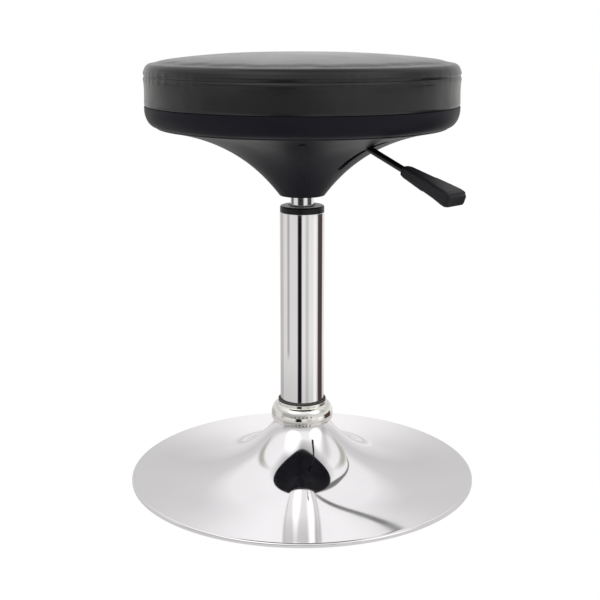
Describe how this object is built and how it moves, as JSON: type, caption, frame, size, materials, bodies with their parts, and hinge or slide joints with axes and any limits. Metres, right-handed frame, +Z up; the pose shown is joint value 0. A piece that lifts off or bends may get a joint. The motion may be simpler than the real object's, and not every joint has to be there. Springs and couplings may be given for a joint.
{
  "type": "counter stool",
  "caption": "Round padded swivel stool on a gas lift, with a moulded cone under the seat, a height lever, a chromed column and a flared trumpet base.",
  "frame": {"origin": "on the floor, on the column's axis", "axes": "+Z up along the column, -Y towards the picture's camera, +X to its right; the height lever points half way between +X and -Y"},
  "size_m": [0.396, 0.396, 0.484],
  "materials": {
    "chrome": "polished",
    "steel": "zinc plated",
    "iron": "raw casting",
    "rubber": "matte",
    "pan_plastic": "satin moulded",
    "cap_plastic": "satin moulded",
    "grip_plastic": "fine moulded grain",
    "black_steel": "black, semi gloss",
    "leatherette": "fine grain, satin",
    "foam": "open cell foam",
    "plywood": "raw plywood"
  },
  "bodies": {
    "base": {"floor_ring": "rubber", "base_plate": "steel", "trumpet_cover": "chrome", "base_hub": "steel", "ballast_ring": "iron", "trim_collar": "chrome", "collar_gasket": "rubber", "column_tube": "chrome", "column_foot": "steel", "guide_bushing": "cap_plastic", "bearing_lower_race": "steel"},
    "spindle": {"piston_rod": "chrome", "retaining_clip": "steel", "bearing_ball_cage": "steel", "bearing_upper_race": "steel", "bump_stop": "rubber", "piston": "steel"},
    "seat": {"pressure_tube": "chrome", "rod_gland": "cap_plastic", "taper_socket": "steel", "mounting_plate": "steel", "lever_bracket": "steel", "pivot_pin": "steel", "seat_board": "plywood", "foam_pad": "foam", "cover_top": "leatherette", "cover_band": "leatherette", "seat_pan": "pan_plastic", "mounting_bolt_1": "steel", "mounting_bolt_2": "steel", "mounting_bolt_3": "steel", "mounting_bolt_4": "steel", "tee_nut_1": "steel", "tee_nut_2": "steel", "tee_nut_3": "steel", "tee_nut_4": "steel", "pan_screw_1": "black_steel", "pan_screw_2": "black_steel", "pan_screw_3": "black_steel", "pan_screw_4": "black_steel"},
    "lever": {"lever_rod": "black_steel", "lever_grip": "grip_plastic"},
    "valve": {"valve_pin": "chrome"}
  },
  "joints": [
    {"name": "seat_swivel", "type": "hinge", "parent": "base", "child": "spindle", "pos_m": [0, 0, 0.022], "axis": [0, 0, 1], "continuous": true},
    {"name": "seat_lift", "type": "slide", "parent": "spindle", "child": "seat", "axis": [0, 0, 1], "range_m": [0, 0.14]},
    {"name": "lever_lift", "type": "hinge", "parent": "seat", "child": "lever", "pos_m": [0.02404, -0.02404, 0.412], "axis": [-0.7071, -0.7071, 0], "range_deg": [0, 8], "stiffness_Nm_per_rad": 2, "springref_deg": -5.73},
    {"name": "valve_press", "type": "slide", "parent": "seat", "child": "valve", "axis": [0, 0, -1], "range_m": [0, 0.005]}
  ],
  "couplings": [
    {"joint": "valve_press", "follows": "lever_lift", "m_per_rad": 0.034}
  ]
}
